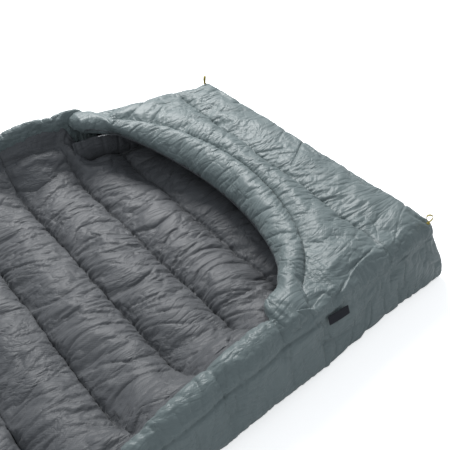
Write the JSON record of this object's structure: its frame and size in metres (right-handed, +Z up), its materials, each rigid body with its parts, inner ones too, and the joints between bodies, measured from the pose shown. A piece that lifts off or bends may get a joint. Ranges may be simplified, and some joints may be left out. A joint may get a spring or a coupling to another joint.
{
  "type": "camp quilt",
  "caption": "Down camp quilt with a boxed foot, laid open with its lining up, quilted in transverse chambers, with a draft tube round the mouth of the foot box.",
  "frame": {"origin": "on the ground, under the middle of the laid-out quilt", "axes": "+Y towards the foot box, +Z up, +X towards the side with the label; the quilt lies with its lining up"},
  "size_m": [1.3662, 2.035, 0.21],
  "materials": {
    "shell_fabric": "satin",
    "lining_fabric": "satin",
    "down": "matte",
    "baffle_mesh": "matte",
    "loop_ribbon": "matte",
    "label_weave": "matte"
  },
  "bodies": {
    "root": {"baffle_wall_01": "baffle_mesh", "baffle_wall_02": "baffle_mesh", "baffle_wall_03": "baffle_mesh", "baffle_wall_04": "baffle_mesh", "baffle_wall_05": "baffle_mesh", "baffle_wall_06": "baffle_mesh", "down_chamber_01": "down", "down_chamber_02": "down", "down_chamber_03": "down", "down_chamber_04": "down", "down_chamber_05": "down", "down_chamber_06": "down", "down_chamber_07": "down", "end_wall_fill": "down", "end_wall_lining": "lining_fabric", "end_wall_shell": "shell_fabric", "lining_foot": "lining_fabric", "roll_middle_far_cover": "shell_fabric", "roll_middle_far_fill": "down", "roll_middle_near_cover": "shell_fabric", "roll_middle_near_fill": "down", "shell_under_foot": "shell_fabric", "side_wall_far_fill": "down", "side_wall_far_lining": "lining_fabric", "side_wall_far_shell": "shell_fabric", "side_wall_near_fill": "down", "side_wall_near_lining": "lining_fabric", "side_wall_near_shell": "shell_fabric"},
    "head_section": {"baffle_wall_08": "baffle_mesh", "baffle_wall_09": "baffle_mesh", "baffle_wall_10": "baffle_mesh", "down_chamber_08": "down", "down_chamber_09": "down", "down_chamber_10": "down", "down_chamber_11": "down", "head_hem_cover": "shell_fabric", "head_hem_fill": "down", "lining_head": "lining_fabric", "roll_head_far_cover": "shell_fabric", "roll_head_far_fill": "down", "roll_head_near_cover": "shell_fabric", "roll_head_near_fill": "down", "shell_under_head": "shell_fabric"},
    "loop_far": {"corner_loop_far": "loop_ribbon"},
    "loop_near": {"corner_loop_near": "loop_ribbon"},
    "foot_box_top": {"draft_tube_cover": "shell_fabric", "draft_tube_fill": "down", "loop_tack_far": "loop_ribbon", "loop_tack_near": "loop_ribbon", "mouth_hem": "lining_fabric", "top_fill_front": "down", "top_fill_rear": "down", "top_lining": "lining_fabric", "top_seam_baffle": "baffle_mesh", "top_shell": "shell_fabric"},
    "label": {"label": "label_weave"}
  },
  "joints": [
    {"name": "head_fold", "type": "hinge", "parent": "root", "child": "head_section", "pos_m": [0, -0.2775, 0.072], "axis": [-1, 0, 0], "range_deg": [0, 160]},
    {"name": "foot_box_settle", "type": "hinge", "parent": "root", "child": "foot_box_top", "pos_m": [0, 0.4875, 0.185], "axis": [-1, 0, 0], "range_deg": [0, 8], "deforming": ["end_wall_fill", "end_wall_lining", "end_wall_shell", "side_wall_far_fill", "side_wall_far_lining", "side_wall_far_shell", "side_wall_near_fill", "side_wall_near_lining", "side_wall_near_shell"]},
    {"name": "loop_near_tilt", "type": "hinge", "parent": "foot_box_top", "child": "loop_near", "pos_m": [0.488, 1.0055, 0.184], "axis": [-0.7071, 0.7071, 0], "range_deg": [-30, 60]},
    {"name": "loop_far_tilt", "type": "hinge", "parent": "foot_box_top", "child": "loop_far", "pos_m": [-0.488, 1.0055, 0.184], "axis": [-0.7071, -0.7071, 0], "range_deg": [-30, 60]},
    {"name": "label_lift", "type": "hinge", "parent": "foot_box_top", "child": "label", "pos_m": [0.53855, 0.625, 0.147], "axis": [0, -1, 0], "range_deg": [0, 110]}
  ]
}
